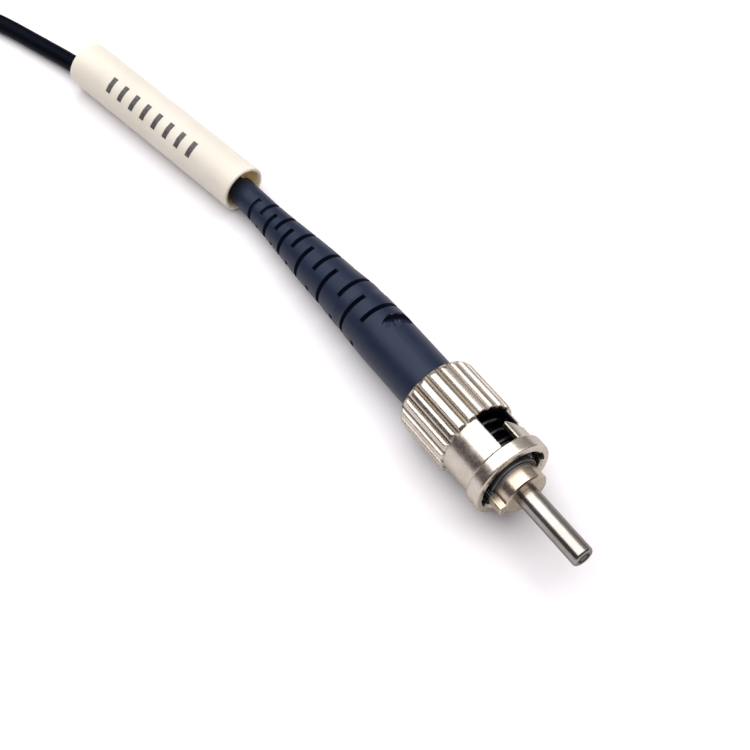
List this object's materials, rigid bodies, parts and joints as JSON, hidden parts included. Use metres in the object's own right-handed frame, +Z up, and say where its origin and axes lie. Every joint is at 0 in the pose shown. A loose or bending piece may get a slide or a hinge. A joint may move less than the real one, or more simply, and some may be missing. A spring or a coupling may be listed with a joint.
{
  "type": "plastic optical fibre cable",
  "caption": "Slim black plastic optical fibre cable with a bayonet plug on each end: metal ferrule, knurled spring-loaded coupling nut, slotted rubber boot, and a pale marker sleeve.",
  "frame": {"origin": "centre of the near ferrule's polished end face", "axes": "+Z up from the surface that the cable lies on, +X along the near plug towards its mating side, 3.8 degrees below the plug's own axis"},
  "size_m": [0.1886, 0.0339, 0.0153],
  "materials": {
    "ferrule_steel": "turned and polished",
    "nickel": "satin nickel plate on brass",
    "dark_steel": "blackened",
    "spring_steel": "drawn wire",
    "crimp_metal": "crimped",
    "clear_fibre": "polished",
    "boot_rubber": "satin moulded",
    "cable_jacket": "extruded satin",
    "marker_plastic": "soft extruded",
    "tie_tape": "woven tape"
  },
  "bodies": {
    "cable": {"ferrule": "ferrule_steel", "fibre_core": "clear_fibre", "plug_body": "nickel", "spring_washer": "dark_steel", "coupling_spring": "spring_steel", "retaining_clip": "dark_steel", "crimp_sleeve": "crimp_metal", "strain_relief_boot": "boot_rubber", "cable_in_plug": "cable_jacket", "far_ferrule": "ferrule_steel", "far_fibre_core": "clear_fibre", "far_plug_body": "nickel", "far_spring_washer": "dark_steel", "far_coupling_spring": "spring_steel", "far_retaining_clip": "dark_steel", "far_crimp_sleeve": "crimp_metal", "far_strain_relief_boot": "boot_rubber", "far_cable_in_plug": "cable_jacket", "marker_sleeve": "marker_plastic", "cable_lead": "cable_jacket", "cable_hank": "cable_jacket", "cable_tail": "cable_jacket", "hank_tie": "tie_tape", "plug_tie": "tie_tape"},
    "nut_carrier": {"thrust_washer": "dark_steel"},
    "nut": {"coupling_nut": "nickel"},
    "far_nut_carrier": {"far_thrust_washer": "dark_steel"},
    "far_nut": {"far_coupling_nut": "nickel"}
  },
  "joints": [
    {"name": "nut_slide", "type": "slide", "parent": "cable", "child": "nut_carrier", "axis": [0.9978, 0, 0.0663], "range_m": [0, 0.0025], "stiffness_N_per_m": 1500, "springref_m": -0.002, "deforming": ["coupling_spring"]},
    {"name": "nut_turn", "type": "hinge", "parent": "nut_carrier", "child": "nut", "pos_m": [-0.01696, 0, -0.00113], "axis": [0.9978, 0, 0.0663], "continuous": true},
    {"name": "far_nut_slide", "type": "slide", "parent": "cable", "child": "far_nut_carrier", "axis": [0.9978, 0, 0.0663], "range_m": [0, 0.0025], "stiffness_N_per_m": 1500, "springref_m": -0.002, "deforming": ["far_coupling_spring"]},
    {"name": "far_nut_turn", "type": "hinge", "parent": "far_nut_carrier", "child": "far_nut", "pos_m": [-0.12136, 0.0074, 0.00357], "axis": [0.9978, 0, 0.0663], "continuous": true}
  ]
}
